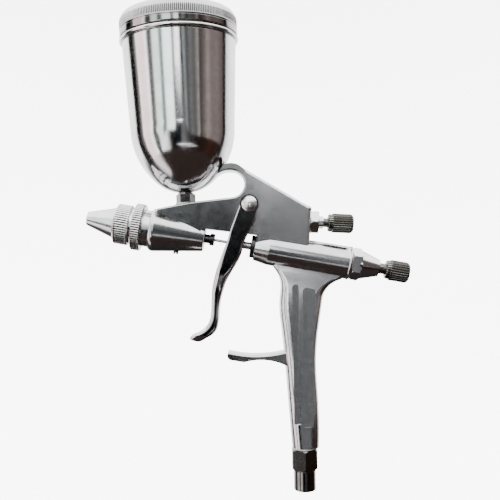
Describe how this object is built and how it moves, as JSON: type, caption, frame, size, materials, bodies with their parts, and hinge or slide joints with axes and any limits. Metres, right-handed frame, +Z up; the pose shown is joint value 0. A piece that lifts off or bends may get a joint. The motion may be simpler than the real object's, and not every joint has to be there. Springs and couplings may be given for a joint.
{
  "type": "gravity-feed spray gun",
  "caption": "Small gravity-feed spray gun of plated metal: lidded paint cup, pistol trigger, hanging hook, finger rest, needle and air knobs at the rear, threaded air inlet under the handle.",
  "frame": {"origin": "centre of the end face of the air inlet, at the foot of the handle", "axes": "+X is the way it sprays, +Z is up, square to the nozzle line, and +Y is to the left of the spray"},
  "size_m": [0.1466, 0.0532, 0.2058],
  "materials": {
    "plated_body": "bright plated casting, satin on the flat sides",
    "plated_trigger": "bright plated, rounded edges",
    "plated_nozzle_set": "bright plated, turned and knurled",
    "plated_fittings": "bright plated, turned",
    "plated_knobs": "bright plated, straight knurling",
    "cup_steel": "spun, with fine brushing along the wall, semi-bright",
    "lid_steel": "spun, with a finely ribbed grip band",
    "fitting_steel": "turned",
    "needle_steel": "ground and polished",
    "spring_steel": "drawn wire",
    "white_seal": "waxy",
    "black_rubber": "matt"
  },
  "bodies": {
    "gun": {"gun_body": "plated_body", "nozzle_head": "plated_nozzle_set", "fluid_nozzle": "needle_steel", "nozzle_washer": "white_seal", "needle_packing": "white_seal", "packing_nut": "plated_fittings", "barrel_grub_screw": "fitting_steel", "air_valve_gland": "fitting_steel", "air_valve_packing": "white_seal", "valve_spring_seat": "fitting_steel", "air_valve_spring": "spring_steel", "needle_spring": "spring_steel", "rear_cap": "plated_fittings", "air_gland_nut": "plated_fittings", "pivot_screw": "plated_fittings", "pivot_nut": "plated_fittings", "cup_seal": "white_seal", "cup_nut": "fitting_steel", "cup_neck": "fitting_steel", "paint_cup": "cup_steel", "air_inlet": "plated_fittings", "inlet_washer": "white_seal"},
    "trigger": {"trigger": "plated_trigger"},
    "needle": {"fluid_needle": "needle_steel", "needle_chuck": "needle_steel", "needle_chuck_nut": "needle_steel"},
    "valve": {"air_valve_stem": "needle_steel", "air_valve_seal": "black_rubber"},
    "needle_stop": {"spring_thrust_washer": "fitting_steel"},
    "fluid_knob": {"fluid_knob": "plated_knobs"},
    "air_seal": {"air_knob_oring": "black_rubber"},
    "air_knob": {"air_knob": "plated_knobs"},
    "lock_ring": {"head_lock_ring": "plated_nozzle_set"},
    "cap": {"air_cap": "plated_nozzle_set"},
    "cap_ring": {"air_cap_ring": "plated_nozzle_set"},
    "lid_seal": {"lid_gasket": "white_seal"},
    "lid": {"cup_lid": "lid_steel"}
  },
  "joints": [
    {"name": "trigger_pull", "type": "hinge", "parent": "gun", "child": "trigger", "pos_m": [0.0462, 0, 0.1215], "axis": [0, 1, 0], "range_deg": [0, 12], "stiffness_Nm_per_rad": 0.6, "springref_deg": -20.05},
    {"name": "needle_slide", "type": "slide", "parent": "gun", "child": "needle", "axis": [-1, 0, 0], "range_m": [0, 0.0038], "deforming": ["needle_spring"]},
    {"name": "valve_slide", "type": "slide", "parent": "gun", "child": "valve", "axis": [-1, 0, 0], "range_m": [0, 0.0038], "deforming": ["air_valve_spring"]},
    {"name": "needle_stop_slide", "type": "slide", "parent": "gun", "child": "needle_stop", "axis": [1, 0, 0], "range_m": [-0.0008, 0.0008]},
    {"name": "fluid_knob_turn", "type": "hinge", "parent": "needle_stop", "child": "fluid_knob", "pos_m": [-0.0233, 0, 0.1033], "axis": [1, 0, 0], "range_deg": [-380, 380]},
    {"name": "air_screw_slide", "type": "slide", "parent": "gun", "child": "air_seal", "axis": [-0.992, 0, 0.1264], "range_m": [-0.00075, 0.00075]},
    {"name": "air_knob_turn", "type": "hinge", "parent": "air_seal", "child": "air_knob", "pos_m": [0.0181, 0, 0.11846], "axis": [-0.992, 0, 0.1264], "range_deg": [-380, 380]},
    {"name": "lock_ring_turn", "type": "hinge", "parent": "gun", "child": "lock_ring", "pos_m": [0.0935, 0, 0.1033], "axis": [1, 0, 0], "range_deg": [0, 90]},
    {"name": "cap_slide", "type": "slide", "parent": "gun", "child": "cap", "axis": [1, 0, 0], "range_m": [0, 0.002]},
    {"name": "cap_ring_turn", "type": "hinge", "parent": "cap", "child": "cap_ring", "pos_m": [0.1005, 0, 0.1033], "axis": [1, 0, 0], "range_deg": [0, 740]},
    {"name": "lid_lift", "type": "slide", "parent": "gun", "child": "lid_seal", "axis": [0.2113, 0, 0.9774], "range_m": [0, 0.03]},
    {"name": "lid_turn", "type": "hinge", "parent": "lid_seal", "child": "lid", "pos_m": [0.09087, 0, 0.19416], "axis": [0.2113, 0, 0.9774], "continuous": true}
  ],
  "couplings": [
    {"joint": "needle_slide", "follows": "trigger_pull", "m_per_rad": 0.0176},
    {"joint": "valve_slide", "follows": "trigger_pull", "m_per_rad": 0.0176},
    {"joint": "fluid_knob_turn", "follows": "needle_stop_slide", "rad_per_m": 7854},
    {"joint": "air_knob_turn", "follows": "air_screw_slide", "rad_per_m": 8377.6},
    {"joint": "cap_ring_turn", "follows": "cap_slide", "rad_per_m": 6283.2}
  ]
}
